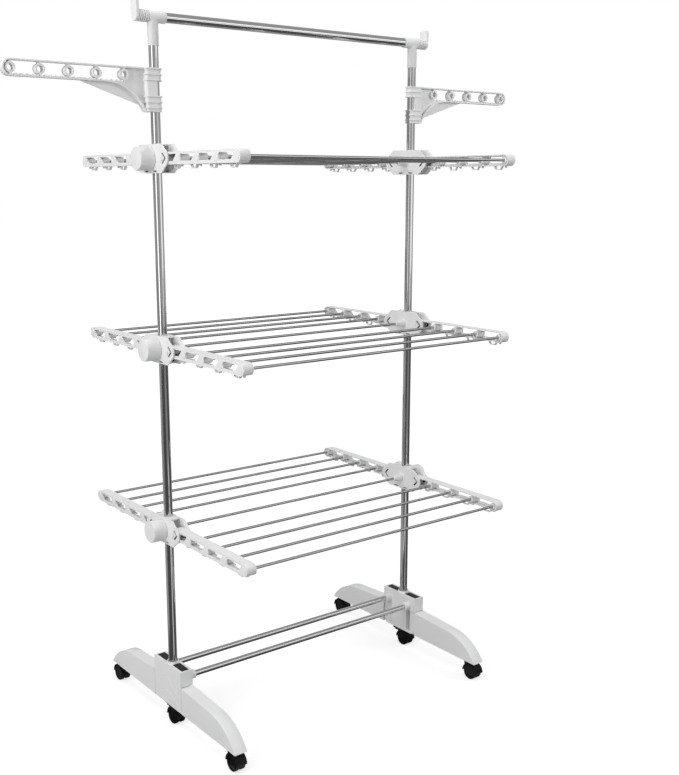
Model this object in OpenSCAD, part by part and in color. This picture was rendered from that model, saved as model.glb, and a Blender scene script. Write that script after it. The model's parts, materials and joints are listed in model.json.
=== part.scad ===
// Clothes drying rack that folds flat: two steel posts under a hanging bar, three tiers of
// drying wings, two swivelling hanger arms, and a base of four folding legs on six castors.
// Millimetres. The origin is on the floor under the middle of the rack: X runs along the rods,
// Y across them, and Z up.

/* [Frame] */
// Distance between the axes of the two posts
post_span = 670; // [560:5:820]
// Height of the hanging bar's axis above the floor
bar_z = 1477; // [1440:1:1800]
// Outer diameter of the posts
post_d = 19; // [16:0.5:23]
// Outer diameter of the hanging bar
bar_d = 19; // [16:0.5:23]
// Outer diameter of the two stretchers in the base
stretcher_d = 12.7; // [10:0.1:15.5]
// Wall of the steel tubes
tube_wall = 1; // [0.6:0.1:2]
// Wall of the top fittings' sockets
tee_wall = 2; // [1.5:0.1:4]
// How far the top fittings reach down the posts
tee_drop = 54; // [40:1:90]

/* [Tiers] */
// Clear height between the base blocks and the lower wings when they hang folded
fold_clear = 28; // [10:1:60]
// Height of the middle tier above the lower tier
lower_to_middle = 386; // [370:1:420]
// Height of the upper tier above the middle tier
middle_to_upper = 379; // [370:1:420]
// Rods in each wing
rod_count = 4; // [2:1:4]
// Diameter of the drying rods
rod_d = 6; // [4:0.5:8]
// Wall of the drying rods
rod_wall = 0.6; // [0.4:0.1:1.5]
// Distance from the posts' plane to the first rod
first_rod = 102; // [96:1:110]
// Distance from one rod to the next
rod_pitch = 69; // [56:1:83]

/* [Wing arms] */
// Height of a wing arm
arm_h = 24; // [20:0.5:29]
// Width of a wing arm along the rods
arm_w = 22; // [20:0.5:27]
// Wall of a wing arm
arm_wall = 2.4; // [1.6:0.1:3]
// Diameter of the wings' pivot pins
pivot_d = 6; // [4:0.5:8]
// Outer diameter of the sockets that hold the rods
rod_socket_d = 15; // [12:0.5:18]
// Height of a window in a wing arm
arm_window_h = 13; // [6:0.5:14]
// How far the peg loops reach out of a wing arm
loop_reach = 8; // [6:0.5:10]

/* [Hubs] */
// Height of a hub plate
plate_h = 56; // [50:1:64]
// Thickness of a hub plate
plate_t = 3; // [2:0.1:4]
// How far a hub plate reaches past the pivots
plate_reach = 27; // [24:1:30]
// Diameter of the clamping knobs
knob_d = 46; // [36:1:50]
// Length of the clamping knobs
knob_l = 31; // [25:1:45]
// Diameter of the knobs' studs
stud_d = 8; // [6:0.5:10]
// Length of the bosses that hold the centre rods
boss_l = 25; // [18:1:35]

/* [Hanger arms] */
// How far the hanger arms lie below the hanging bar
side_drop = 111; // [105:1:160]
// Height of a hanger arm
side_h = 30; // [29:1:38]
// Depth of a hanger arm
side_w = 16; // [14:1:24]
// Rings in each hanger arm
ring_count = 5; // [2:1:5]
// Distance from the post's axis to the first ring
first_ring = 67; // [60:1:75]
// Distance from one ring to the next
ring_pitch = 56; // [40:1:58]
// Bore of a ring
ring_bore = 12; // [10:0.5:17]
// Wall of a ring
ring_wall = 3.5; // [2:0.5:5]
// How far a ring stays back from each face of its hanger arm
ring_set = 1; // [0.5:0.5:3]
// Thickness of the rim round a hanger arm
side_rim = 2.5; // [2:0.1:3.5]
// Height of the collar that holds a hanger arm to its post
collar_h = 82; // [78:1:92]

/* [Base] */
// Height of the base blocks
base_h = 96; // [92:1:110]
// Height of the legs where they meet the blocks
leg_h = 60; // [50:1:62]
// How far the legs reach from the posts' plane
leg_reach = 271; // [240:1:300]
// Where a leg's top starts to round down to its tip, from the posts' plane
leg_round_start = 178; // [150:1:200]
// Distance from the posts' plane to the outer castors
castor_y = 242; // [220:1:252]
// Wall of the hollow legs
leg_wall = 2.5; // [2:0.1:4]
// Plastic between a post and the faces of its base block
base_side = 5.5; // [5:0.1:8]
// Thickness of the blocks' outer covers
cover_t = 2.5; // [2:0.1:3]
// Diameter of the legs' hinge pins
leg_pin_d = 8; // [6:0.5:10]
// Distance from the posts' plane to each stretcher
stretcher_y = 36; // [34:0.5:40]
// Travel of the leg release buttons
button_travel = 4; // [2:0.5:5]

/* [Castors] */
// Diameter of the castor wheels
wheel_d = 35; // [32:1:50]
// Width of one wheel
wheel_w = 10; // [7:0.5:12]
// Distance from a castor's stem to its axle, across the floor
trail = 10; // [6:0.5:14]
// Diameter of the castors' stems
stem_d = 8; // [6:0.5:10]
// Diameter of the wheels' axles
axle_d = 6; // [4:0.5:8]

/* [Hidden] */
$fn = 72;
fit = 0.05;     // radial running clearance of a shaft in its bore
gap = 0.3;      // clear space between pieces that pass each other
over = 1;       // how far a cut runs past a face

LEFT = -1;
RIGHT = 1;
FRONT = -1;
MIDDLE = 0;
REAR = 1;
SIDES = [["left", LEFT], ["right", RIGHT]];
ENDS = [["front", FRONT], ["rear", REAR]];
CASTORS = [["front", FRONT], ["middle", MIDDLE], ["rear", REAR]];

// Hubs, worked out from the post and the arms that turn in them
hub_half = max(arm_w / 2 + 1, post_d / 2 + 2.5);    // half the gap between a hub's two plates
core_half = post_d / 2 + 18.5;                      // half the width of the core round the post
pivot_y = core_half + arm_h / 2 + 3;                // wing pivots, from the posts' plane
plate_half = pivot_y + plate_reach;
plate_flat = pivot_y + 1;
plate_end_r = 16;
plate_out = hub_half + plate_t;

// Wings
last_rod = first_rod + (rod_count - 1) * rod_pitch;
wing_drop = last_rod - pivot_y + arm_h / 2;         // how far a folded wing hangs below its tier

// Base, worked out from the post, the leg pins and the castors
base_z = wheel_d + 8;
base_top = base_z + base_h;
base_t = post_d + 2 * base_side;
base_floor = 5;
leg_top = base_z + leg_h;
roof_z = leg_top + 0.5;                             // underside of the block over the legs
knuckle_r = base_t / 2 - cover_t - 0.5;
leg_pin_y = core_half + knuckle_r + 3;
base_half = leg_pin_y + base_t / 2;
leg_root = base_half + 1.4;
leg_pin_grip = 4;                                   // how far a leg pin enters the block over the leg
post_foot = base_z + 22;
stretcher_z = leg_top + 13;
stretcher_collar_d = stretcher_d + 7;
stretcher_collar_l = 16;
stretcher_seat = 7;                                 // how far a stretcher enters the block itself
button_l = 40;
button_w = 18;
button_h = 8;
button_y = post_d / 2 + 24.5;
castor_top = base_z - gap;
stem_l = 15;

// Heights of the tiers, the hanger arms and the ends of the posts
lower_z = base_top + fold_clear + wing_drop;
middle_z = lower_z + lower_to_middle;
upper_z = middle_z + middle_to_upper;
TIERS = [["upper", upper_z], ["middle", middle_z], ["lower", lower_z]];
side_z = bar_z - side_drop;
post_head = bar_z - bar_d / 2 - 1;
bar_end = post_d / 2 + 1;                           // from a post's axis to the end of the bar

WHITE = "#eceded";
STEEL = "#b9bcc0";
BLACK = "#1c1c1e";
GREY = "#3e4043";

// ---- Placing ----

// Children stand on a post's axis, with +X pointing out of the rack
module at_post(side) {
    translate([side * post_span / 2, 0, 0]) mirror([side < 0 ? 1 : 0, 0, 0]) children();
}

// As at_post, with +Y pointing along the leg or the wing arm at that end
module at_quarter(side, end) {
    at_post(side) mirror([0, end < 0 ? 1 : 0, 0]) children();
}

// A flat outline drawn as (y, z), from x0 and t thick along X
module in_yz(x0, t) {
    translate([x0, 0, 0]) rotate([90, 0, 90]) linear_extrude(t) children();
}

// A flat outline drawn as (x, z), t deep and centred on Y
module in_xz(t) {
    translate([0, t / 2, 0]) rotate([90, 0, 0]) linear_extrude(t) children();
}

module tube(d, wall, l) {
    difference() {
        cylinder(d = d, h = l);
        translate([0, 0, -over]) cylinder(d = d - 2 * wall, h = l + 2 * over);
    }
}

// A cylinder along X from x0 to x1
module rod_x(d, x0, x1) {
    translate([x0, 0, 0]) rotate([0, 90, 0]) cylinder(d = d, h = x1 - x0);
}

// A tube along X, centred on the rack
module tube_x(d, wall, half) {
    translate([-half, 0, 0]) rotate([0, 90, 0]) tube(d, wall, 2 * half);
}

// A slot with round ends from u0 to u1
module stadium(u0, u1, r) {
    translate([u0, 0]) circle(r);
    translate([u1, 0]) circle(r);
    translate([u0, -r]) square([u1 - u0, 2 * r]);
}

// A rectangle from the origin with its far corners rounded
module tongue(w, h, r) {
    translate([-w / 2, 0]) square([w, h - r]);
    translate([-w / 2 + r, 0]) square([w - 2 * r, h]);
    for (s = [-1, 1]) translate([s * (w / 2 - r), h - r]) circle(r);
}

// ---- Frame ----

module post(side) {
    color(STEEL) at_post(side) difference() {
        translate([0, 0, post_foot]) tube(post_d, tube_wall, post_head - post_foot);
        for (t = TIERS) translate([0, 0, t[1]]) rod_x(stud_d + 2 * fit, -post_d, post_d);
    }
}

module top_bar() {
    color(STEEL) translate([0, 0, bar_z]) tube_x(bar_d, tube_wall, post_span / 2 - bar_end);
}

// Joins a post to the bar, and ends in an upright paddle that keeps hangers on the rack
module tee(side) {
    socket_d = max(post_d, bar_d) + 2 * tee_wall;
    socket_l = 26;
    ridge_l = 35;
    ridge_count = 5;
    ridge_pitch = 4.4;
    ridge_deep = 2.5;
    drop_d = post_d + 1.3 * tee_wall;
    paddle_w = socket_d;
    paddle_h = 30;
    paddle_t = 4.5;
    color(WHITE) at_post(side) translate([0, 0, bar_z]) difference() {
        union() {
            translate([0, 0, -tee_drop]) cylinder(d = drop_d, h = tee_drop);
            rod_x(socket_d, -socket_l, ridge_l - (ridge_count + 0.5) * ridge_pitch);
            rod_x(socket_d - 2 * ridge_deep, 0, ridge_l);
            for (i = [1 : ridge_count]) translate([ridge_l - i * ridge_pitch, 0, 0])
                rod_x(socket_d, 0, ridge_pitch / 2);
            in_yz(ridge_l - over, paddle_t + over) {
                circle(d = paddle_w);
                tongue(paddle_w, paddle_h, 4);
            }
        }
        translate([0, 0, -tee_drop - over])
            cylinder(d = post_d + 2 * fit, h = post_head - bar_z + tee_drop + over);
        rod_x(bar_d + 2 * fit, -socket_l - over, -bar_end);
    }
}

module stretchers() {
    color(STEEL) for (y = [-stretcher_y, stretcher_y])
        translate([0, y, stretcher_z]) tube_x(stretcher_d, tube_wall,
            post_span / 2 - base_t / 2 + stretcher_seat);
}

// ---- Hubs and tiers ----

// Where the tangent from the point p meets a circle of radius r about (c, 0)
function tangent_point(p, c, r) =
    let (d = norm([p[0] - c, p[1]]), a = atan2(p[1], p[0] - c) - acos(r / d))
    [c + r * cos(a), r * sin(a)];

module plate_outline() {
    end_y = plate_half - plate_end_r;
    t = tangent_point([plate_flat, plate_h / 2], end_y, plate_end_r);
    corners = [[plate_flat, plate_h / 2], t, [t[0], -t[1]], [plate_flat, -plate_h / 2]];
    polygon(concat(corners, [for (p = corners) -p]));
    for (s = [-1, 1]) translate([s * end_y, 0]) circle(plate_end_r);
}

// Arrow-shaped slots that point out to the wings, and two small slots over the lower edge
module plate_slots() {
    tip = plate_half - 8;
    arrow = [12, 11];
    slot = 4;
    for (s = [-1, 1]) scale_y(s) {
        polygon([[tip, 0], [tip - arrow[0], arrow[1]], [tip - arrow[0] - slot, arrow[1] - slot / 2],
            [tip - slot * 1.4, 0],
            [tip - arrow[0] - slot, -arrow[1] + slot / 2], [tip - arrow[0], -arrow[1]]]);
        translate([core_half - 18, -plate_h / 2 + 2.5]) square([14, 2.5]);
    }
}

// Mirrors a flat outline when s is negative
module scale_y(s) {
    mirror([s < 0 ? 1 : 0, 0]) children();
}

// Pockets in the two ends of a hub's core, open towards the wings
module core_pockets() {
    wall = 3;
    depth = core_half - post_d / 2 - wall - 2;
    for (s = [-1, 1]) scale([1, s, 1])
        translate([-hub_half, core_half - depth, wall - plate_h / 2])
            cube([2 * hub_half - wall, depth + over, plate_h - 2 * wall]);
}

module pivot_bores(d, x0, x1) {
    for (s = [-1, 1]) translate([0, s * pivot_y, 0]) rod_x(d, x0, x1);
}

// Core round the post, inner plate and centre-rod boss of the two hubs of one tier
module hubs(z) {
    boss_root_d = 22;
    boss_tip_d = rod_d + 6;
    color(WHITE) for (s = SIDES) at_post(s[1]) translate([0, 0, z]) difference() {
        union() {
            in_yz(-plate_out, plate_t) difference() {
                plate_outline();
                plate_slots();
            }
            in_yz(-hub_half, 2 * hub_half) translate([-core_half, -plate_h / 2])
                square([2 * core_half, plate_h]);
            translate([-plate_out - boss_l, 0, 0]) rotate([0, 90, 0])
                cylinder(d1 = boss_tip_d, d2 = boss_root_d, h = boss_l);
        }
        translate([0, 0, -plate_h]) cylinder(d = post_d + 2 * fit, h = 2 * plate_h);
        core_pockets();
        rod_x(stud_d + 2 * fit, -hub_half, hub_half + over);
        rod_x(rod_d + 2 * fit, -plate_out - boss_l - over, -plate_out);
        pivot_bores(pivot_d + 2 * fit, -plate_out - over, -hub_half + over);
    }
}

module hub_plates() {
    color(WHITE) for (t = TIERS) for (s = SIDES) at_post(s[1]) translate([0, 0, t[1]]) difference() {
        in_yz(hub_half, plate_t) difference() {
            plate_outline();
            plate_slots();
        }
        rod_x(stud_d + 2 * fit, hub_half - over, plate_out + over);
        pivot_bores(pivot_d + 2 * fit, hub_half - over, plate_out + over);
    }
}

module wing_pins() {
    head_d = pivot_d + 6;
    head_t = 1.5;
    color(WHITE) for (t = TIERS) for (s = SIDES) at_post(s[1]) translate([0, 0, t[1]]) {
        pivot_bores(pivot_d, -plate_out, plate_out + head_t / 2);
        pivot_bores(head_d, plate_out, plate_out + head_t);
    }
}

// Screws the hub to the post: its stud runs through the post into the hub's core
module knob(z, side) {
    face = plate_out + gap;
    edge = 0.8;
    color(WHITE) at_post(side) translate([0, 0, z]) {
        rotate([0, 90, 0]) rotate_extrude() polygon([[0, face], [knob_d / 2 - 1, face],
            [knob_d / 2, face + 1], [knob_d / 2, face + knob_l - edge],
            [knob_d / 2 - edge, face + knob_l], [0, face + knob_l]]);
        rod_x(stud_d, -hub_half + gap, face + over);
    }
}

module centre_rods() {
    color(STEEL) for (t = TIERS) translate([0, 0, t[1]])
        tube_x(rod_d, rod_wall, post_span / 2 - plate_out);
}

// One window of a wing arm from u0 to u1, cut slantwise at its outer end
module arm_window(u0, u1) {
    top = arm_h / 2 - arm_wall - 2;
    low = top - arm_window_h;
    polygon([[u0, low], [u0, top - 3], [u0 + 3, top], [u1, top], [u1, top - 2], [u1 + low - top + 2, low]]);
}

// A thin loop for pegs under a wing arm, and a barb beside it, in the cell that starts at u
module arm_loop(u, cell) {
    u0 = u + 0.45 * cell;
    u1 = u + 0.83 * cell;
    w = 2;
    top = -arm_h / 2 + w / 2;
    out = -arm_h / 2 - loop_reach;
    slope = 6;
    difference() {
        polygon([[u0, top], [u0 + slope, out], [u1 - slope, out], [u1, top]]);
        polygon([[u0 + 1.2 * w, top], [u0 + slope + w / 2, out + w],
            [u1 - slope - w / 2, out + w], [u1 - 1.2 * w, top]]);
    }
    polygon([[u + 0.91 * cell, top], [u + 0.95 * cell, -arm_h / 2 - 4],
        [u + 0.97 * cell, -arm_h / 2 - 4], [u + 0.95 * cell, top]]);
}

module wing_arm() {
    r = arm_h / 2;
    outer = arm_w / 2;
    socket_r = rod_socket_d / 2;
    margin = 1;
    loop_t = 6;
    shelf = loop_t / 2 + 1;     // how far the underside reaches past the loops' middle
    pivot_socket_d = pivot_d + 9;
    cells = [for (i = [0 : rod_count - 1]) i == 0 ? [pivot_y + 3, first_rod]
        : [first_rod + (i - 1) * rod_pitch, first_rod + i * rod_pitch]];
    gaps = [for (i = [0 : rod_count - 1])
        [i == 0 ? pivot_y + pivot_socket_d / 2 + 1 : cells[i][0] + socket_r + margin,
            cells[i][1] - socket_r - margin]];
    difference() {
        union() {
            in_yz(outer - arm_wall, arm_wall) stadium(pivot_y, last_rod, r);
            in_yz(-outer, arm_w) difference() {
                stadium(pivot_y, last_rod, r);
                stadium(pivot_y, last_rod, r - arm_wall);
            }
            for (i = [0 : rod_count - 1]) translate([0, first_rod + i * rod_pitch, 0])
                rod_x(rod_socket_d, -outer, outer + 0.5);
            translate([0, pivot_y, 0]) rod_x(pivot_socket_d, -outer, outer);
            in_yz(-loop_t / 2, loop_t) for (c = cells) arm_loop(c[0], c[1] - c[0]);
        }
        for (i = [0 : rod_count - 1]) translate([0, first_rod + i * rod_pitch, 0])
            rod_x(rod_d + 2 * fit, -outer - over, outer - arm_wall);
        translate([0, pivot_y, 0]) rod_x(pivot_d + 2 * fit, -outer - over, outer + over);
        in_yz(outer - arm_wall - over, arm_wall + 2 * over) for (g = gaps) arm_window(g[0], g[1]);
        in_yz(-outer - over, outer + over - shelf) for (g = gaps) translate([g[0], -r - over])
            square([g[1] - g[0], arm_wall + 2 * over]);
    }
}

module wing_arms(z, end) {
    color(WHITE) for (s = SIDES) at_quarter(s[1], end) translate([0, 0, z]) wing_arm();
}

module wing_rods(z, end) {
    color(STEEL) for (i = [0 : rod_count - 1])
        translate([0, end * (first_rod + i * rod_pitch), z])
            tube_x(rod_d, rod_wall, post_span / 2 + arm_w / 2 - arm_wall);
}

// ---- Hanger arms ----

ring_r = ring_bore / 2 + ring_wall;
collar_reach = post_d / 2 + 13.5;                   // the collar's flat end, from the post's axis
brace_bend = first_ring + 0.7 * ring_pitch;         // where the brace's rib leaves the arm's lower rim

// Plan of the collar: round behind the post and square towards the arm
module collar_plan(r, reach) {
    corner = 4;
    circle(r);
    translate([0, -r]) square([reach - corner, 2 * r]);
    translate([0, corner - r]) square([reach, 2 * (r - corner)]);
    for (y = [corner - r, r - corner]) translate([reach - corner, y]) circle(corner);
}

module side_collar() {
    wall = 3;
    r = post_d / 2 + wall;
    top = side_h / 2;
    band = 24;          // height of the ring at the top
    clip = 30;          // height of the clip at the bottom
    rib = 2;
    rib_t = 2.6;
    rib_pitch = 10.7;
    lip = 0.8;          // how far the foot stands out
    mouth = 14;         // opening of the clip, on the side away from the arm
    bottom = top - collar_h;
    difference() {
        union() {
            translate([0, 0, bottom]) linear_extrude(collar_h) collar_plan(r, collar_reach);
            for (i = [0 : 2]) for (z = [top - rib_t, bottom + clip - rib_t])
                translate([0, 0, z - i * rib_pitch]) linear_extrude(rib_t)
                    collar_plan(r + rib, collar_reach + rib);
            translate([0, 0, bottom]) linear_extrude(rib_t) collar_plan(r + lip, collar_reach + lip);
        }
        translate([0, 0, bottom - over])
            cylinder(d = post_d + 2 * fit, h = collar_h + 2 * over);
        translate([-2 * r, -2 * r, bottom + clip]) cube([2 * r, 4 * r, collar_h - band - clip]);
        translate([-2 * r, -mouth / 2, bottom - over]) cube([2 * r, mouth, clip + 2 * over]);
    }
}

// Web and curved rib that brace the arm down to the foot of its collar
module side_brace(foot_x, foot_z) {
    web_t = 3;
    under = -side_h / 2;
    web_x = first_ring + 1.7 * ring_pitch;
    drop = under - foot_z;
    run = brace_bend - foot_x;
    // radius of the arc that leaves the arm's underside level and meets the collar's foot
    r = (run * run + drop * drop) / (2 * drop);
    in_xz(web_t) {
        polygon([[0, -under - 1], [first_ring, -under - 1], [first_ring, under + side_rim],
            [brace_bend, under + side_rim], [web_x, under + side_rim / 2],
            [foot_x + 10.5, foot_z + 12], [foot_x, foot_z], [0, foot_z]]);
        side_scallops(0);
    }
    in_xz(side_w) intersection() {
        translate([brace_bend, under - r + side_rim]) difference() {
            circle(r, $fn = 180);
            circle(r - side_rim, $fn = 180);
        }
        translate([foot_x - side_rim, foot_z]) square([run + side_rim, drop + side_rim]);
    }
}

// Scallops on the lower rim between the ring i and the next, which keep hangers apart
module side_scallops(i) {
    count = 5;
    pitch = 0.185 * ring_pitch;
    depth = 2.8;
    dip_r = (pitch * pitch / 4 + depth * depth) / (2 * depth);
    start = first_ring + (i + 1) * ring_pitch - count * pitch;
    dip_z = side_rim + 0.3 - side_h / 2;
    difference() {
        translate([start, -side_h / 2 + 0.4]) square([count * pitch, side_rim - 0.4 + depth]);
        for (k = [0 : count - 1]) translate([start + (k + 0.5) * pitch, dip_z + dip_r]) circle(dip_r);
    }
}

module side_arm_frame() {
    r = side_h / 2;
    tip = first_ring + (ring_count - 1) * ring_pitch;
    strut = 4;
    in_xz(side_w) difference() {
        union() {
            difference() {
                union() {
                    translate([tip, 0]) circle(r);
                    translate([0, -r]) square([tip, side_h]);
                }
                translate([tip, 0]) circle(r - side_rim);
                translate([-over, -r + side_rim]) square([tip + over, side_h - 2 * side_rim]);
                translate([-over, -r - over]) square([brace_bend + over, side_rim + over]);
            }
            for (i = [1 : 1 : ring_count - 2]) side_scallops(i);
        }
        // the frame starts clear of the post, inside the collar
        translate([-over, -side_h]) square([post_d / 2 + 2 * over, 2 * side_h]);
    }
    in_xz(side_w - 2 * ring_set) difference() {
        for (i = [0 : ring_count - 1]) translate([first_ring + i * ring_pitch, 0]) {
            circle(ring_r);
            translate([-strut / 2, 0]) square([strut, r - side_rim / 2]);
            if (i > 0) translate([-strut / 2, side_rim / 2 - r]) square([strut, r]);
        }
        for (i = [0 : ring_count - 1]) translate([first_ring + i * ring_pitch, 0])
            circle(d = ring_bore);
    }
}

module side_arm(side) {
    foot_z = side_h / 2 - collar_h;
    color(WHITE) at_post(side) translate([0, 0, side_z]) {
        side_arm_frame();
        side_collar();
        difference() {
            side_brace(collar_reach, foot_z);
            translate([0, 0, foot_z - over]) cylinder(d = post_d + 2 * fit, h = collar_h + 2 * over);
            in_xz(side_w) translate([first_ring, 0]) circle(d = ring_bore);
        }
    }
}

// ---- Base ----

module leg_pins() {
    color(STEEL) for (s = SIDES) for (e = ENDS) at_quarter(s[1], e[1])
        translate([0, leg_pin_y, base_z + over])
            cylinder(d = leg_pin_d, h = roof_z + leg_pin_grip - base_z - over);
}

// The floor's inner corners are round about the leg pins, so that the legs' roots swing past them
module base_floor_plan() {
    outer = base_t / 2 - cover_t;
    intersection() {
        union() {
            for (s = [-1, 1]) translate([0, s * leg_pin_y]) circle(d = base_t);
            translate([-base_t / 2, -leg_pin_y]) square([base_t, 2 * leg_pin_y]);
            translate([0, -base_half]) square([base_t, 2 * base_half]);
        }
        translate([-base_t, -base_half]) square([base_t + outer, 2 * base_half]);
    }
}

// Block at the foot of a post: a core, a floor and a roof that leave room for the legs' knuckles
module base(side) {
    inner = -base_t / 2;
    body_t = base_t - cover_t;
    pocket = gap;
    ring_d = post_d + 9;
    ring_h = 4;
    ring_open = 3;      // how much wider than the post the ring's mouth is
    color(WHITE) at_post(side) difference() {
        union() {
            translate([inner, -base_half, roof_z]) cube([body_t, 2 * base_half, base_top - roof_z]);
            translate([inner, -core_half, base_z]) cube([body_t, 2 * core_half, base_h - over]);
            translate([0, 0, base_z]) linear_extrude(base_floor) base_floor_plan();
            intersection() {
                translate([0, 0, base_top - over]) cylinder(d1 = ring_d, d2 = ring_d - 2, h = ring_h + over);
                translate([inner, -ring_d, base_z]) cube([body_t, 2 * ring_d, 2 * base_h]);
            }
            for (y = [-stretcher_y, stretcher_y]) translate([0, y, stretcher_z])
                rod_x(stretcher_collar_d, inner - stretcher_collar_l, inner + over);
        }
        translate([0, 0, post_foot]) cylinder(d = post_d + 2 * fit, h = base_h);
        translate([0, 0, base_top + 0.5]) cylinder(d = post_d + ring_open, h = ring_h);
        translate([0, 0, base_z - over]) cylinder(d = stem_d + 2 * fit, h = stem_l + over);
        for (y = [-stretcher_y, stretcher_y]) translate([0, y, stretcher_z])
            rod_x(stretcher_d + 2 * fit, inner - stretcher_collar_l - over, inner + stretcher_seat);
        for (s = [-1, 1]) {
            translate([0, s * leg_pin_y, base_z + over])
                cylinder(d = leg_pin_d + 2 * fit, h = roof_z + leg_pin_grip - base_z - over);
            translate([-button_w / 2 - pocket, s * button_y - button_l / 2 - pocket,
                    base_top - button_h - button_travel - 1])
                cube([button_w + 2 * pocket, button_l + 2 * pocket, base_h]);
        }
    }
}

// Height of a wave pressed into the cover, at y across it
function wave_z(y, low, rise) =
    let (half = base_half * 0.8) low + (abs(y) < half ? rise * (1 + cos(180 * y / half)) / 2 : 0);

module base_cover(side) {
    groove = 0.6;
    step = base_half / 16;
    color(WHITE) at_post(side) difference() {
        in_yz(base_t / 2 - cover_t, cover_t) translate([-base_half, base_z])
            square([2 * base_half, base_h]);
        for (w = [[0.40, 0.28], [0.18, 0.17]]) in_yz(base_t / 2 - groove, groove + over)
            polygon(concat(
                [for (y = [-base_half - over : step : base_half + over])
                    [y, base_z + wave_z(y, w[0] * base_h, w[1] * base_h)]],
                [for (y = [base_half + over : -step : -base_half - over])
                    [y, base_z + wave_z(y, w[0] * base_h, w[1] * base_h) - groove * 2]]));
    }
}

// Side view of a leg, drawn inset from its outer faces: a gently falling top, then an arc to the tip
module leg_outline(inset) {
    fall = 3;
    start_z = leg_top - (leg_round_start - leg_root) * tan(fall);
    d = [leg_reach - leg_round_start, start_z - base_z];
    r = (d * d) / (2 * (d[1] * cos(fall) - d[0] * sin(fall)));
    centre = [leg_round_start - r * sin(fall), start_z - r * cos(fall)];
    floor_z = inset > 0 ? base_z - over : base_z;
    polygon([[leg_root + inset, floor_z], [leg_root + inset, leg_top - inset],
        [leg_round_start, start_z - inset / cos(fall)], [leg_round_start, floor_z]]);
    intersection() {
        translate(centre) circle(r - inset, $fn = 180);
        translate([leg_round_start - over / 10, floor_z])
            square([leg_reach - leg_round_start + over, base_h]);
    }
}

module leg(side, end) {
    knuckle_z = base_z + base_floor + gap;
    knuckle_h = roof_z - gap - knuckle_z;
    neck_w = 12;
    neck_h = min(knuckle_h, leg_h - 9);
    recess = 3.2;       // depth of the seam between the knuckle and the leg's shell
    socket_d = stem_d + 10;
    socket_h = stem_l + 2;
    color(WHITE) at_quarter(side, end) difference() {
        union() {
            difference() {
                in_yz(-base_t / 2, base_t) leg_outline(0);
                in_yz(-base_t / 2 + leg_wall, base_t - 2 * leg_wall) leg_outline(leg_wall);
            }
            translate([0, leg_pin_y, knuckle_z]) cylinder(r = knuckle_r, h = knuckle_h);
            translate([-knuckle_r, leg_pin_y, knuckle_z])
                cube([2 * knuckle_r, leg_root - leg_pin_y - recess, neck_h]);
            translate([-neck_w / 2, leg_pin_y, knuckle_z])
                cube([neck_w, leg_root - leg_pin_y + leg_wall / 2, neck_h]);
            intersection() {
                union() {
                    translate([0, castor_y, base_z]) cylinder(d = socket_d, h = socket_h);
                    translate([-base_t / 2, castor_y - over, base_z]) cube([base_t, 2 * over, socket_h]);
                }
                in_yz(-base_t / 2 + leg_wall / 2, base_t - leg_wall) leg_outline(leg_wall / 2);
            }
        }
        translate([0, leg_pin_y, base_z - over]) cylinder(d = leg_pin_d + 2 * fit, h = base_h);
        translate([0, castor_y, base_z - over]) cylinder(d = stem_d + 2 * fit, h = stem_l + over);
    }
}

module button(side, end) {
    color(GREY) at_quarter(side, end)
        translate([-button_w / 2, button_y - button_l / 2, base_top - button_h])
            cube([button_w, button_l, button_h]);
}

// ---- Castors ----

web_t = 4;
wheel_x = web_t / 2 + 0.5;                          // inner face of a wheel
hood_in = wheel_d / 2 + 1.2;
hood_r = hood_in + 2.5;
castor_w = 2 * (wheel_x + wheel_w) + 1;
saddle_front = max(stem_d / 2 + 6, 0.85 * hood_r - trail);
cheek_r = 3.2;
lever_y = saddle_front + cheek_r + 0.8;             // brake pivot, in front of the saddle
lever_z = castor_top - 9;
lever_pin_d = 3;
lug_w = 8;

// The front and middle castors trail to the front, and the rear ones to the rear
module at_castor(side, end) {
    translate([side * post_span / 2, end * castor_y, 0]) mirror([0, end == REAR ? 0 : 1, 0]) children();
}

// Swivelling housing: stem, hood over the twin wheels, web between them, and the middle
// castors' lug for the brake
module castor(side, end) {
    saddle_w = 18;
    color(BLACK) at_castor(side, end) difference() {
        union() {
            translate([0, 0, wheel_d / 2]) in_yz(-castor_w / 2, castor_w) intersection() {
                translate([trail, 0]) circle(hood_r);
                translate([trail - 2 * hood_r, 0]) square([4 * hood_r, 2 * hood_r]);
            }
            in_yz(-web_t / 2, web_t) translate([trail, wheel_d / 2]) circle(d = axle_d + 8);
            in_yz(-saddle_w / 2, saddle_w) polygon([[-stem_d / 2 - 6, castor_top], [stem_d + 8, castor_top],
                [trail + hood_r * 0.75, wheel_d / 2 + hood_r * 0.6],
                [trail - hood_r * 0.85, wheel_d / 2 + hood_r * 0.5]]);
            cylinder_from(castor_top - over, base_z + stem_l - over, stem_d);
            if (end == MIDDLE) in_yz(-lug_w / 2, lug_w) {
                translate([-lever_y, lever_z]) circle(lug_w / 2);
                translate([-lever_y, lever_z - lug_w / 2]) square([lever_y, lug_w]);
            }
        }
        for (s = [-1, 1]) translate([0, trail, wheel_d / 2])
            scale_x(s) rod_x(2 * hood_in, web_t / 2, castor_w);
        translate([0, trail, wheel_d / 2]) rod_x(axle_d + 2 * fit, -castor_w, castor_w);
        if (end == MIDDLE) translate([0, -lever_y, lever_z])
            rod_x(lever_pin_d + 2 * fit, -castor_w, castor_w);
    }
}

module scale_x(s) {
    mirror([s < 0 ? 1 : 0, 0, 0]) children();
}

module cylinder_from(z0, z1, d) {
    translate([0, 0, z0]) cylinder(d = d, h = z1 - z0);
}

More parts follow.
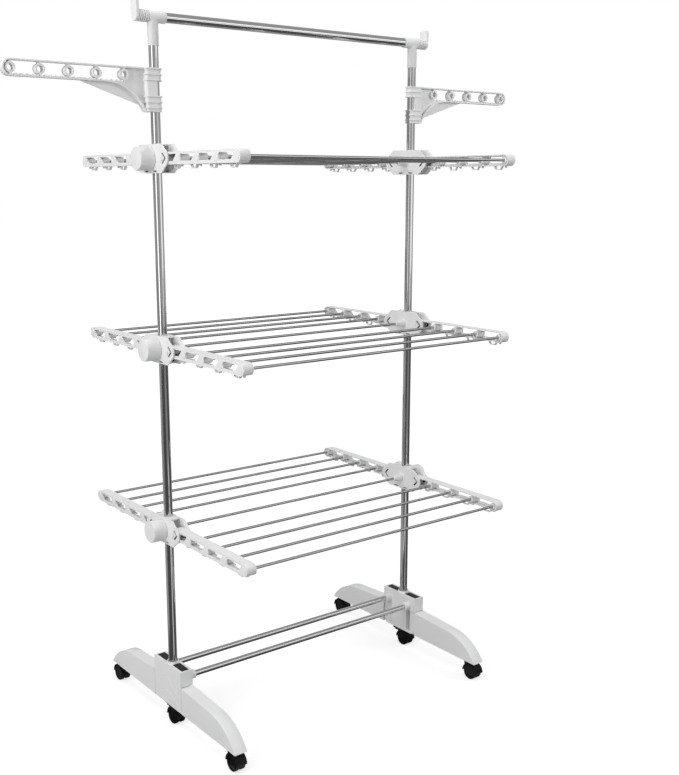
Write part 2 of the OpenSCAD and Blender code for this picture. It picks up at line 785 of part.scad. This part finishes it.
// Twin wheels on one axle, dished on their outer faces
module wheels(side, end) {
    r = wheel_d / 2;
    far = wheel_x + wheel_w;
    color(BLACK) at_castor(side, end) translate([0, trail, r]) {
        for (s = [-1, 1]) scale_x(s) rotate([0, 90, 0]) rotate_extrude()
            polygon([[0, wheel_x], [r - 1, wheel_x], [r, wheel_x + 1], [r, far - 1.5],
                [r - 1.5, far], [r * 0.76, far], [r * 0.7, far - 1.5], [r * 0.3, far - 1.5],
                [r * 0.26, far - 0.5], [0, far - 0.5]]);
        rod_x(axle_d, -far + over, far - over);
    }
}

// Foot lever on a middle castor, with its pin
module brake_lever(side) {
    tread = [2 * lug_w, 8, 3];
    cheek_t = 2.5;
    reach = lug_w / 2 + gap;
    color(BLACK) at_castor(side, MIDDLE) translate([0, -lever_y, lever_z]) {
        rod_x(lever_pin_d, -reach - cheek_t / 2, reach + cheek_t / 2);
        for (s = [-1, 1]) scale_x(s) in_yz(reach, cheek_t) {
            circle(cheek_r);
            translate([-reach - 4, -cheek_r]) square([reach + 4, 2 * cheek_r]);
        }
        translate([-tread[0] / 2, -reach - 3 - tread[1], cheek_r - tread[2]]) cube(tread);
    }
}

// ---- Assembly ----

top_bar();
stretchers();
leg_pins();
hub_plates();
centre_rods();
wing_pins();
for (s = SIDES) {
    post(s[1]);
    tee(s[1]);
    side_arm(s[1]);
    base(s[1]);
    base_cover(s[1]);
    brake_lever(s[1]);
}
for (t = TIERS) {
    hubs(t[1]);
}
for (t = TIERS) for (s = SIDES) {
    knob(t[1], s[1]);
}
for (t = TIERS) for (e = ENDS) {
    wing_arms(t[1], e[1]);
    wing_rods(t[1], e[1]);
}
for (s = SIDES) for (e = ENDS) {
    leg(s[1], e[1]);
    button(s[1], e[1]);
}
for (s = SIDES) for (e = CASTORS) {
    castor(s[1], e[1]);
    wheels(s[1], e[1]);
}
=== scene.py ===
"""Looks of a folding clothes drying rack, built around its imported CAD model."""
import json
import math

import bmesh
import bpy
from mathutils import Matrix, Vector


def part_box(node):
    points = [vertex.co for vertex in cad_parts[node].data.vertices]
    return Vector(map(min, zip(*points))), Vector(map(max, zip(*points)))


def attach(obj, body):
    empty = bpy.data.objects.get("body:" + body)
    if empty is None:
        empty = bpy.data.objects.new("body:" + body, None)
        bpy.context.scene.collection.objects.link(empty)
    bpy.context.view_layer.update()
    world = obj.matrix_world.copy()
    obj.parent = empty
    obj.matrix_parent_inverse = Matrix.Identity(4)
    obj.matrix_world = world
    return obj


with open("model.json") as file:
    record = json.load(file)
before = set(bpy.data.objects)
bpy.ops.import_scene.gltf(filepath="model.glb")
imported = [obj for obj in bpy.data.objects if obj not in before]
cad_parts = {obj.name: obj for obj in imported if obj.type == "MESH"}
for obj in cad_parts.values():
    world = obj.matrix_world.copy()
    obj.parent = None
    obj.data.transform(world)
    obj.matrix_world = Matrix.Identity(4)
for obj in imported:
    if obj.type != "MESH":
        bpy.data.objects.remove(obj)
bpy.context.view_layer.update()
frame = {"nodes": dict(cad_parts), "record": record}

MM = 0.001
NODES = frame["nodes"]
SLOTS = {part["node"]: part["material_slot"] for part in frame["record"]["subparts"]}


# ---- Camera ----

CAMERA_PLACE = (-1.3638, -1.9006, 1.163)
CAMERA_HEADING = 37.08       # degrees from +Y towards +X
CAMERA_TILT = -11.877        # degrees above the horizon
CAMERA_ROLL = -0.05          # degrees
CAMERA_LENS = 48.885         # millimetres
CAMERA_SHIFT = (0.0232, 0.0217)


def add_camera():
    data = bpy.data.cameras.new("camera")
    data.lens = CAMERA_LENS
    data.shift_x, data.shift_y = CAMERA_SHIFT
    data.clip_end = 60
    camera = bpy.data.objects.new("camera", data)
    bpy.context.scene.collection.objects.link(camera)
    turn = (Matrix.Rotation(math.radians(-CAMERA_HEADING), 4, "Z")
            @ Matrix.Rotation(math.radians(90 + CAMERA_TILT), 4, "X")
            @ Matrix.Rotation(math.radians(CAMERA_ROLL), 4, "Z"))
    camera.matrix_world = Matrix.Translation(CAMERA_PLACE) @ turn
    bpy.context.scene.camera = camera


# ---- Materials ----

class Nodes:
    """A material's node tree with short calls to add and join its nodes."""

    def __init__(self, name):
        self.material = bpy.data.materials.new(name)
        self.material.use_nodes = True
        self.tree = self.material.node_tree
        self.shader = self.tree.nodes["Principled BSDF"]
        self.output = self.tree.nodes["Material Output"]

    def add(self, kind, **values):
        node = self.tree.nodes.new(kind)
        for key, value in values.items():
            if hasattr(node, key):
                setattr(node, key, value)
            else:
                node.inputs[key.replace("_", " ")].default_value = value
        return node

    def join(self, source, target):
        self.tree.links.new(source, target)

    def set(self, **values):
        for key, value in values.items():
            self.shader.inputs[key.replace("_", " ")].default_value = value

    def object_place(self, stretch=(1, 1, 1)):
        place = self.add("ShaderNodeTexCoord")
        scale = self.add("ShaderNodeMapping")
        scale.inputs["Scale"].default_value = stretch
        self.join(place.outputs["Object"], scale.inputs["Vector"])
        return scale.outputs["Vector"]

    def noise(self, place, size, detail=3.0, roughness=0.55):
        """Noise with features about size metres across."""
        node = self.add("ShaderNodeTexNoise", Scale=1 / size, Detail=detail, Roughness=roughness)
        self.join(place, node.inputs["Vector"])
        return node.outputs["Fac"]

    def spread(self, value, low, high):
        node = self.add("ShaderNodeMapRange")
        node.inputs["From Min"].default_value = 0.25
        node.inputs["From Max"].default_value = 0.75
        node.inputs["To Min"].default_value = low
        node.inputs["To Max"].default_value = high
        self.join(value, node.inputs["Value"])
        return node.outputs["Result"]

    def between(self, value, first, second):
        node = self.add("ShaderNodeMix", data_type="RGBA")
        node.inputs["A"].default_value = (*first, 1)
        node.inputs["B"].default_value = (*second, 1)
        self.join(value, node.inputs["Factor"])
        return node.outputs["Result"]

    def bump(self, height, depth, strength=0.3):
        node = self.add("ShaderNodeBump", Strength=strength, Distance=depth)
        self.join(height, node.inputs["Height"])
        self.join(node.outputs["Normal"], self.shader.inputs["Normal"])


def moulded_plastic(name, light, dark, roughness, grain, coat=0.0, gloss_level=0.5):
    """Moulded plastic: a fine spark-eroded grain, with slow changes in shade and gloss."""
    made = Nodes(name)
    place = made.object_place()
    slow = made.spread(made.noise(place, 0.12), 0, 1)
    made.join(made.between(slow, dark, light), made.shader.inputs["Base Color"])
    gloss = made.spread(made.noise(place, 0.03, 4), roughness - 0.05, roughness + 0.06)
    made.join(gloss, made.shader.inputs["Roughness"])
    made.bump(made.noise(place, grain, 2), 0.05 * MM, 0.25)
    made.set(Coat_Weight=coat, Coat_Roughness=0.25, IOR=1.48, Specular_IOR_Level=gloss_level)
    return made.material


def drawn_steel(name, colour, roughness):
    """Polished steel: a very faint fine grain, and cloudy changes in shade and polish."""
    made = Nodes(name)
    place = made.object_place()
    cloud = made.noise(place, 0.05, 4)
    made.join(made.between(made.spread(cloud, 0, 1), [c * 0.94 for c in colour], colour),
              made.shader.inputs["Base Color"])
    made.join(made.spread(cloud, roughness * 0.8, roughness * 1.3), made.shader.inputs["Roughness"])
    made.bump(made.noise(place, 0.0009, 2), 0.01 * MM, 0.06)
    made.set(Metallic=1.0)
    return made.material


def white_plastic():
    return moulded_plastic("white_plastic", (0.84, 0.842, 0.845), (0.815, 0.817, 0.82), 0.42, 0.0006, 0.1)


def steel_tube():
    return drawn_steel("steel_tube", (0.6, 0.6, 0.605), 0.08)


def steel_rod():
    return drawn_steel("steel_rod", (0.46, 0.46, 0.465), 0.08)


def steel_pin():
    return drawn_steel("steel_pin", (0.16, 0.16, 0.165), 0.3)


def grey_plastic():
    return moulded_plastic("grey_plastic", (0.012, 0.012, 0.013), (0.008, 0.008, 0.009), 0.5, 0.0005,
                           gloss_level=0.35)


def black_plastic():
    return moulded_plastic("black_plastic", (0.003, 0.003, 0.0034), (0.0015, 0.0015, 0.0018), 0.45, 0.0006,
                           gloss_level=0.2)


def black_wheel():
    return moulded_plastic("black_wheel", (0.003, 0.003, 0.0034), (0.0015, 0.0015, 0.0018), 0.5, 0.0008,
                           gloss_level=0.2)


MATERIALS = {
    "white_plastic": white_plastic, "steel_tube": steel_tube, "steel_rod": steel_rod, "steel_pin": steel_pin,
    "grey_plastic": grey_plastic, "black_plastic": black_plastic, "black_wheel": black_wheel,
}
EDGE = {                     # how much each material's edges are rounded
    "white_plastic": 0.7 * MM, "steel_tube": 0, "steel_rod": 0, "steel_pin": 0,
    "grey_plastic": 0.6 * MM, "black_plastic": 0.5 * MM, "black_wheel": 0.3 * MM,
}


def finish_nodes(made):
    """Gives each CAD node its material, and rounds its edges."""
    for name, node in NODES.items():
        slot = SLOTS[name]
        node.data.materials.clear()
        node.data.materials.append(made[slot])
        round_edges(node, EDGE[slot])


def round_edges(node, width):
    """Joins the mesh's split vertices and, where width isn't 0, merges flat faces and bevels sharp edges."""
    weld = node.modifiers.new("weld", "WELD")
    weld.merge_threshold = 0.002 * MM
    if width:
        flat = node.modifiers.new("flat", "DECIMATE")
        flat.decimate_type = "DISSOLVE"
        flat.angle_limit = math.radians(0.5)
        bevel = node.modifiers.new("edges", "BEVEL")
        bevel.width = width
        bevel.segments = 2
        bevel.limit_method = "ANGLE"
        bevel.angle_limit = math.radians(40)
        bevel.use_clamp_overlap = True
        bevel.harden_normals = True


# ---- Painted shade: dark sheets at the bottoms of the slots in the hubs' plates ----

PLATE = 3 * MM               # thickness of a hub's plate
SHADE_SHEET = 1 * MM               # thickness of a dark sheet that paints a slot's shade
ARROW_TIP = 8 * MM           # from the plate's end to the arrow's tip
ARROW = (12 * MM, 11 * MM, 4 * MM)     # length, half height and stroke of an arrow
DASH = (14 * MM, 2.5 * MM)             # length and height of a dash
CORE_HALF = 28 * MM          # half the width of a hub's core
SHADE_SHEET_GAP = 0.2 * MM         # from a plate's inside face to its dark sheets of painted shade


def arrow_outline(tip):
    reach, half, slot = ARROW
    return [(tip, 0), (tip - reach, half), (tip - reach - slot, half - slot / 2), (tip - 1.4 * slot, 0),
            (tip - reach - slot, -half + slot / 2), (tip - reach, -half)]


def dash_outline(end, bottom):
    start, top = end - DASH[0], bottom + DASH[1]
    return [(start, bottom), (end, bottom), (end, top), (start, top)]


def add_prism(mesh, outline, x0, x1):
    """Adds a solid with this outline in Y and Z, from x0 to x1."""
    first = [mesh.verts.new((x0, y, z)) for y, z in outline]
    last = [mesh.verts.new((x1, y, z)) for y, z in outline]
    mesh.faces.new(first)
    mesh.faces.new(last)
    for i in range(len(outline)):
        j = (i + 1) % len(outline)
        mesh.faces.new((first[i], first[j], last[j], last[i]))


def middle_of_right_post():
    low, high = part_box("right_post")
    return (low[0] + high[0]) / 2


def add_hub_shade_sheets(tier, material):
    """Puts dark sheets of painted shade at the bottoms of one tier's arrow and dash slots, in the inner and
    outer plates.
    """
    low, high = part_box(f"{tier}_hubs")
    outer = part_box("hub_plates")[1][0]
    post_x = middle_of_right_post()
    middle = (low[2] + high[2]) / 2
    half = (high[2] - low[2]) / 2
    arrow = arrow_outline(high[1] - ARROW_TIP)
    dash = dash_outline(CORE_HALF - 4 * MM, DASH[1] - half)
    mesh = bmesh.new()
    for side in (-1, 1):
        for plate in (-1, 1):
            face = side * post_x + side * plate * (outer - post_x - PLATE + SHADE_SHEET_GAP)
            back = face + side * plate * SHADE_SHEET
            for end in (-1, 1):
                for outline in (arrow, dash):
                    add_prism(mesh, [(end * y, middle + z) for y, z in outline], face, back)
    bmesh.ops.recalc_face_normals(mesh, faces=mesh.faces)
    data = bpy.data.meshes.new(f"{tier}_hub_painted_shade")
    mesh.to_mesh(data)
    mesh.free()
    data.materials.append(material)
    piece = bpy.data.objects.new(f"{tier}_hub_painted_shade", data)
    bpy.context.scene.collection.objects.link(piece)
    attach(piece, "frame")


# ---- Floor, light and background ----

FLOOR_COLOUR = (0.5, 0.5, 0.5)
NEAR_GLOW = 0.66             # lifts the lit floor round the rack to white
FAR_GLOW = 0.93              # and the floor that the lamps don't reach
NEAR, FAR = 0.5, 5.0         # metres from the rack's middle where the one glow ends and the other starts
WORLD_LIGHT = 0.33           # what the world gives to matt surfaces
TENT = 0.5                   # brightness of the walls that the polished tubes reflect
CEILING = 0.45               # and of the ceiling
TENT_REACH = 6.0             # from the rack's middle to the walls
TENT_TOP = 5.0


def seen_directly(tree):
    """1 for rays from the camera, and for reflections and refractions, which show the same backdrop."""
    path = tree.nodes.new("ShaderNodeLightPath")
    total = path.outputs["Is Camera Ray"]
    for kind in ("Is Glossy Ray", "Is Transmission Ray"):
        both = tree.nodes.new("ShaderNodeMath")
        both.operation = "MAXIMUM"
        tree.links.new(total, both.inputs[0])
        tree.links.new(path.outputs[kind], both.inputs[1])
        total = both.outputs[0]
    return total


def add_floor():
    """A matt floor that shows the rack's shadow, and glows just enough to look white."""
    bpy.ops.mesh.primitive_plane_add(size=60)
    floor = bpy.context.object
    floor.name = "floor"
    made = Nodes("floor")
    made.set(Base_Color=(*FLOOR_COLOUR, 1), Roughness=1.0, Specular_IOR_Level=0.0)
    length = made.add("ShaderNodeVectorMath", operation="LENGTH")
    made.join(made.object_place(), length.inputs[0])
    glow = made.add("ShaderNodeMapRange", interpolation_type="SMOOTHSTEP")
    glow.inputs["From Min"].default_value = NEAR
    glow.inputs["From Max"].default_value = FAR
    glow.inputs["To Min"].default_value = NEAR_GLOW
    glow.inputs["To Max"].default_value = FAR_GLOW
    made.join(length.outputs["Value"], glow.inputs["Value"])
    strength = made.add("ShaderNodeMath", operation="MULTIPLY")
    made.join(seen_directly(made.tree), strength.inputs[0])
    made.join(glow.outputs["Result"], strength.inputs[1])
    emission = made.add("ShaderNodeEmission", Color=(1, 1, 1, 1))
    made.join(strength.outputs[0], emission.inputs["Strength"])
    both = made.add("ShaderNodeAddShader")
    made.join(made.shader.outputs["BSDF"], both.inputs[0])
    made.join(emission.outputs["Emission"], both.inputs[1])
    made.join(both.outputs["Shader"], made.output.inputs["Surface"])
    floor.data.materials.append(made.material)


def add_world():
    world = bpy.data.worlds.new("studio")
    bpy.context.scene.world = world
    world.use_nodes = True
    tree = world.node_tree
    background = tree.nodes["Background"]
    strength = tree.nodes.new("ShaderNodeMapRange")
    strength.inputs["To Min"].default_value = WORLD_LIGHT
    strength.inputs["To Max"].default_value = 1.0
    tree.links.new(seen_directly(tree), strength.inputs["Value"])
    tree.links.new(strength.outputs["Result"], background.inputs["Strength"])
    background.inputs["Color"].default_value = (1, 1, 1, 1)


def add_lamp(name, place, target, size, power):
    data = bpy.data.lights.new(name, "AREA")
    data.shape = "RECTANGLE"
    data.size, data.size_y = size
    data.energy = power
    lamp = bpy.data.objects.new(name, data)
    bpy.context.scene.collection.objects.link(lamp)
    aim = Vector(target) - Vector(place)
    lamp.matrix_world = Matrix.Translation(place) @ aim.to_track_quat("-Z", "Y").to_matrix().to_4x4()
    lamp.visible_glossy = False


def add_lights():
    add_lamp("key", (-2.7, -0.7, 1.75), (0, 0, 1.0), (1.0, 2.2), 44)
    add_lamp("top", (-0.6, 0.3, 3.4), (0, 0, 0.5), (2.0, 2.0), 38)
    add_lamp("front", (1.9, -1.7, 2.1), (0.3, 0, 1.1), (0.7, 1.2), 27)


def glossy_only(card, level):
    """A card that shows only in polished surfaces, at the given brightness."""
    made = Nodes(card.name)
    made.set(Base_Color=(0, 0, 0, 1), Roughness=1.0, Specular_IOR_Level=0.0)
    made.set(Emission_Color=(1, 1, 1, 1), Emission_Strength=level)
    card.data.materials.append(made.material)
    card.visible_camera = False
    card.visible_diffuse = False
    card.visible_shadow = False
    card.visible_transmission = False


def add_card(name, corners, level):
    mesh = bpy.data.meshes.new(name)
    mesh.from_pydata(corners, [], [range(len(corners))])
    card = bpy.data.objects.new(name, mesh)
    bpy.context.scene.collection.objects.link(card)
    glossy_only(card, level)


def add_wall(name, start, end, low, high, level):
    """An upright card between two points of the floor plan."""
    add_card(name, [(*start, low), (*end, low), (*end, high), (*start, high)], level)


def add_floor_card(name, corners, height, level):
    add_card(name, [(x, y, height) for x, y in corners], level)


def add_floor_wedge(name, post_x, start, end, near, far, height, level):
    """A wedge of the floor seen from a post's foot, between two headings in degrees."""
    def place(heading, reach):
        turn = math.radians(heading)
        return post_x + reach * math.cos(turn), reach * math.sin(turn)
    corners = [place(start, near), place(start, far), place(end, far), place(end, near)]
    add_floor_card(name, corners, height, level)


def add_cards():
    """What the polished tubes show: a grey tent, white strips, and a dark floor with pale wedges."""
    r = TENT_REACH
    corners = [(-r, -r), (r, -r), (r, r), (-r, r)]
    for i in range(4):
        add_wall(f"tent_{i}", corners[i], corners[(i + 1) % 4], 0.0, TENT_TOP, TENT)
    add_card("tent_top", [(*corner, TENT_TOP) for corner in corners], CEILING)
    add_wall("strip_left", (-2.70, -0.45), (-2.39, -1.25), 0.43, 3.2, 2.5)
    add_wall("strip_front", (0.25, -1.9), (0.70, -1.9), 0.6, 2.2, 1.4)
    add_wall("strip_high", (0.4, -1.95), (2.4, -1.95), 1.7, 2.35, 1.9)
    add_wall("strip_rods", (0.6, -1.95), (2.1, -1.95), 0.78, 1.3, 1.5)
    add_wall("flag_camera", (-1.64, -2.0), (-1.45, -2.1), 0.3, 3.0, 0.1)
    post_x = middle_of_right_post()
    add_floor_card("floor_front", corners, 0.004, 0.09)
    add_floor_card("floor_back", [(-post_x, 0.02), (r, 0.02), (r, r), (-r, r), (-r, r - post_x)], 0.006, 0.4)
    add_floor_wedge("floor_far", -post_x, 250, 300, 2.2, 6.0, 0.006, 0.3)
    add_floor_wedge("floor_left_line", -post_x, 267, 287, 0.03, 2.2, 0.008, 0.95)
    add_floor_wedge("floor_right_line", post_x, 257, 276, 0.03, 2.2, 0.010, 0.7)


add_camera()
made_materials = {slot: make() for slot, make in MATERIALS.items()}
finish_nodes(made_materials)
# the hubs' slots get dark sheets that paint the shade inside them
for tier in ("upper", "middle", "lower"):
    add_hub_shade_sheets(tier, made_materials["black_plastic"])
add_floor()
add_world()
add_lights()
add_cards()
bpy.context.scene.view_settings.view_transform = "Standard"
